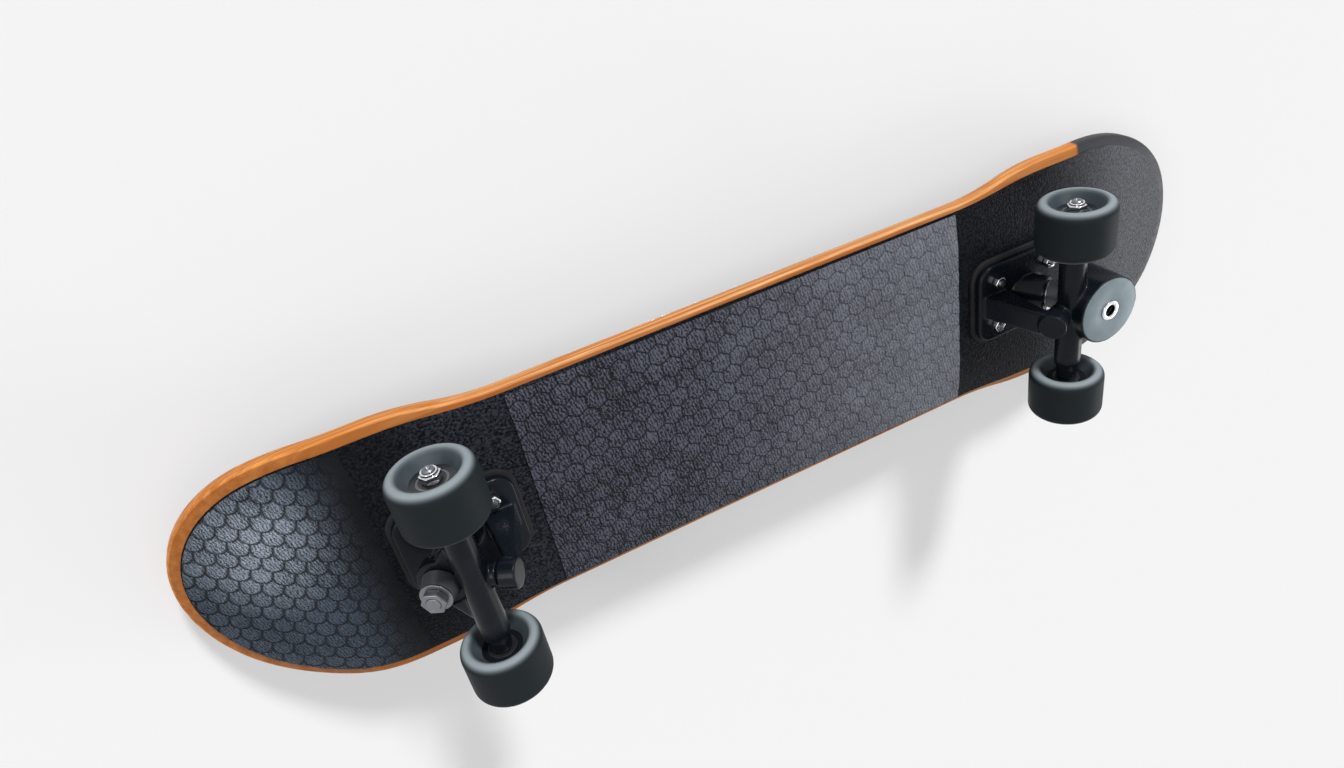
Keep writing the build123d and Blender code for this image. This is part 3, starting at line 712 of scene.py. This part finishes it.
def makePad():
    deselectAll()
    bpy.ops.mesh.primitive_grid_add(x_subdivisions=pad["along"], y_subdivisions=pad["across"], size=2)
    piece = bpy.context.object
    piece.name = "scale_pad"
    bend = math.acos((pad["start"] - pad["endCentre"]) / pad["endLength"])
    floor = pad["low"] - pad["relief"] - pad["high"]
    grooveShades, shadeFades, highlights = [], [], []
    for vertex in piece.data.vertices:
        u, v = (vertex.co.x + 1) / 2, vertex.co.y
        reach = pad["endLength"] * math.cos(bend * (1 - pad["blunt"] * u))
        x = -pad["endCentre"] - reach if u > 0 else -pad["start"]
        y = v * padHalfWidth(x)
        inside, down = scaleAt(x, y)
        swell = smoothStep(inside / pad["edge"])
        shown = smoothStep((-x - pad["start"]) / (pad["fadeFrom"] - pad["start"]))
        rise = pad["relief"] * (1 - pad["lift"] + pad["lift"] * down) * swell
        # painted shade in the grooves round each scale
        grooveShades.append(1 - swell)
        # painted shade where the scales flatten out towards the truck
        shadeFades.append(1 - shown)
        # painted highlight over the middle of the tail pad
        highlights.append(smoothStep(1 - math.dist((x, y), pad["highlightAt"]) / pad["highlightReach"]))
        depth = -pad["high"] - (floor + rise) * max(shown, pad["leastShown"])
        vertex.co = (x, y, deckHeight(x, y, depth))
    pointValues(piece, "grooveShade", grooveShades)
    pointValues(piece, "shadeFade", shadeFades)
    pointValues(piece, "highlight", highlights)
    dropRim(piece, lambda x, y: deckHeight(x, y, -pad["high"]))
    editAll(piece)
    bpy.ops.mesh.normals_make_consistent(inside=False)
    leaveEdit()
    smoothShade(piece, pad["smoothed"])
    dress(piece, looks["tail_pad"])
    fit(piece, "board", "tail_pad", "tail_pad")
    print("scale pad made,", len(piece.data.polygons), "faces")


makePad()

# Castings with the soft edges of a poured part
casting = {"voxel": 0.0008, "rounds": 12, "share": 0.5, "smoothed": 60}


def softCasting(node, name, body):
    piece = copyNode(node, name)
    applyModifier(piece, "REMESH", mode="VOXEL", voxel_size=casting["voxel"], use_smooth_shade=True)
    applyModifier(piece, "SMOOTH", factor=casting["share"], iterations=casting["rounds"])
    smoothShade(piece, casting["smoothed"])
    dress(piece, looks["casting"])
    fit(piece, body, "casting", node)
    print(name, "made,", len(piece.data.polygons), "faces")


for end in ends:
    softCasting(f"{end}_baseplate", f"{end}_plate_casting", "board")
    softCasting(f"{end}_hanger", f"{end}_hanger_casting", f"{end}_hanger_unit")

# Forged and moulded parts with their edges broken: body, slot and width of the bevel
edges = {
    "riser_pad": ("board", "riser", 0.0006), "mounting_nuts": ("board", "chrome", 0.0005),
    "mounting_bolts": ("board", "steel", 0.0003), "kingpin_nut": ("board", "steel", 0.0007),
    "kingpin": ("board", "steel", 0.0004), "bushing_washers": ("board", "steel", 0.0004),
    "axle_nuts": ("hanger_unit", "chrome", 0.0006), "speed_rings": ("hanger_unit", "steel", 0.0002),
    "housing_cover": ("hanger_unit", "cover", 0.0006), "cover_eyelet": ("hanger_unit", "chrome", 0.0003),
}
bevel = {"segments": 3, "limit_method": "ANGLE", "angle_limit": math.radians(38)}
edgeSmoothed = 30


def breakEdges(node, name, body, slot, width):
    piece = copyNode(node, name)
    applyModifier(piece, "BEVEL", width=width, **bevel)
    smoothShade(piece, edgeSmoothed)
    dress(piece, looks[slot])
    fit(piece, body, slot, node)


for end in ends:
    for part, (body, slot, width) in edges.items():
        if f"{end}_{part}" in nodes:  # only the front truck has the cover
            owner = body if body == "board" else f"{end}_{body}"
            breakEdges(f"{end}_{part}", f"{end}_{part}_finished", owner, slot, width)
print("hardware edges broken")

# Axles with a centre drilled in each end
drill = {
    "land": 0.0012, "cone": 0.0013, "depth": 0.0016, "tolerance": 1e-5, "flat": math.radians(1),
    "smoothed": 30,
}


def makeAxle(end):
    rod = copyNode(f"{end}_axle", f"{end}_axle_rod")
    tip = max(vertex.co.y for vertex in rod.data.vertices)
    editAll(rod)
    bpy.ops.mesh.select_all(action="DESELECT")
    leaveEdit()
    for face in rod.data.polygons:
        face.select = abs(abs(face.center.y) - tip) < drill["tolerance"]
    takeUp(rod)
    bpy.ops.object.mode_set(mode="EDIT")
    bpy.ops.mesh.dissolve_limited(angle_limit=drill["flat"])
    bpy.ops.mesh.inset(thickness=drill["land"], use_individual=True)
    bpy.ops.mesh.inset(thickness=drill["cone"], depth=-drill["depth"], use_individual=True)
    leaveEdit()
    smoothShade(rod, drill["smoothed"])
    dress(rod, looks["steel"])
    fit(rod, f"{end}_hanger_unit", "steel", f"{end}_axle")


for end in ends:
    makeAxle(end)
print("axles made")

# Sky that the camera and the metal see, and the even light that it gives
sky = {"shown": (0.905, 0.905, 0.91, 1), "light": 0.34}


def makeWorld():
    world = bpy.data.worlds.new("studio")
    bpy.context.scene.world = world
    world.use_nodes = True
    tree = world.node_tree
    tree.nodes.clear()
    seen = addNode(tree, "ShaderNodeLightPath")
    shown = maths(tree, "MAXIMUM", seen.outputs["Is Camera Ray"], seen.outputs["Is Transmission Ray"])
    shown = maths(tree, "MAXIMUM", shown, seen.outputs["Is Glossy Ray"])
    pale = addNode(tree, "ShaderNodeBackground", {"Color": sky["shown"], "Strength": 1.0})
    light = addNode(tree, "ShaderNodeBackground", {"Color": (1, 1, 1, 1), "Strength": sky["light"]})
    both = addNode(tree, "ShaderNodeMixShader", {0: shown, 1: light.outputs[0], 2: pale.outputs[0]})
    addNode(tree, "ShaderNodeOutputWorld", {0: both.outputs[0]})


# Suns, by the side that their light comes from
lamps = {
    "key": {"from": (0.22, -0.86, -0.46), "strength": 2.7, "spread": 9},
    "tail": {"from": (-0.70, -0.34, -0.62), "strength": 0.9, "spread": 30},
    "nose": {"from": (0.84, 0.43, -0.33), "strength": 0.7, "spread": 30},
    "top": {"from": (0.3, 0.35, 0.9), "strength": 1.7, "spread": 16},
}


def makeLamp(name, look):
    data = bpy.data.lights.new(name, "SUN")
    data.energy = look["strength"]
    data.angle = math.radians(look["spread"])
    lamp = bpy.data.objects.new(name, data)
    lamp.rotation_mode = "QUATERNION"
    lamp.rotation_quaternion = Vector(look["from"]).to_track_quat("Z", "Y")
    bpy.context.scene.collection.objects.link(lamp)


# The floor is seen from above only, and the backdrop, just over the deck, from below only
backdropGap = 0.012
floors = {
    "floor": {"height": 0, "size": 12.0, "facing": 1, "colour": (0.66, 0.66, 0.665, 1), "glow": 0.36},
    "backdrop": {"height": cadHigh[2] + backdropGap, "size": 7.0, "facing": -1,
                 "colour": (0.68, 0.68, 0.685, 1), "glow": 0.24},
}


def oneSided(name, look):
    material = bpy.data.materials.new(name)
    material.use_nodes = True
    tree = material.node_tree
    tree.nodes.clear()
    back = addNode(tree, "ShaderNodeNewGeometry").outputs["Backfacing"]
    seen = addNode(tree, "ShaderNodeLightPath").outputs["Is Camera Ray"]
    pale = addNode(tree, "ShaderNodeBsdfDiffuse", {"Color": look["colour"]})
    lit = addNode(tree, "ShaderNodeEmission", {"Strength": maths(tree, "MULTIPLY", seen, look["glow"])})
    face = addNode(tree, "ShaderNodeAddShader", {0: pale.outputs[0], 1: lit.outputs[0]})
    clear = addNode(tree, "ShaderNodeBsdfTransparent")
    both = addNode(tree, "ShaderNodeMixShader", {0: back, 1: face.outputs[0], 2: clear.outputs[0]})
    addNode(tree, "ShaderNodeOutputMaterial", {0: both.outputs[0]})
    return material


def makeFloor(name, look):
    deselectAll()
    bpy.ops.mesh.primitive_plane_add(size=look["size"], location=(0, 0, look["height"]))
    floor = bpy.context.object
    floor.name = name
    if look["facing"] < 0:
        editAll(floor)
        bpy.ops.mesh.flip_normals()
        leaveEdit()
    floor.visible_shadow = False
    floor.visible_diffuse = False
    floor.visible_glossy = False
    dress(floor, oneSided(name, look))


# Camera at the photo's place, fitted to the deck's outline
view = {
    "place": (-0.254, -0.4114, -0.4516), "turn": (0.25909, 0.9366, 0.14786, -0.18382),
    "lens": 24.25, "sensor": 36, "nearest": 0.01,
}


def makeCamera():
    data = bpy.data.cameras.new("camera")
    data.sensor_width = view["sensor"]
    data.lens = view["lens"]
    data.clip_start = view["nearest"]
    camera = bpy.data.objects.new("camera", data)
    camera.rotation_mode = "QUATERNION"
    camera.location = view["place"]
    camera.rotation_quaternion = Quaternion(view["turn"])
    bpy.context.scene.collection.objects.link(camera)
    bpy.context.scene.camera = camera


makeWorld()
for name, look in lamps.items():
    makeLamp(name, look)
for name, look in floors.items():
    makeFloor(name, look)
makeCamera()
bpy.context.scene.view_settings.view_transform = "Standard"
print("stage, lamps and camera made")
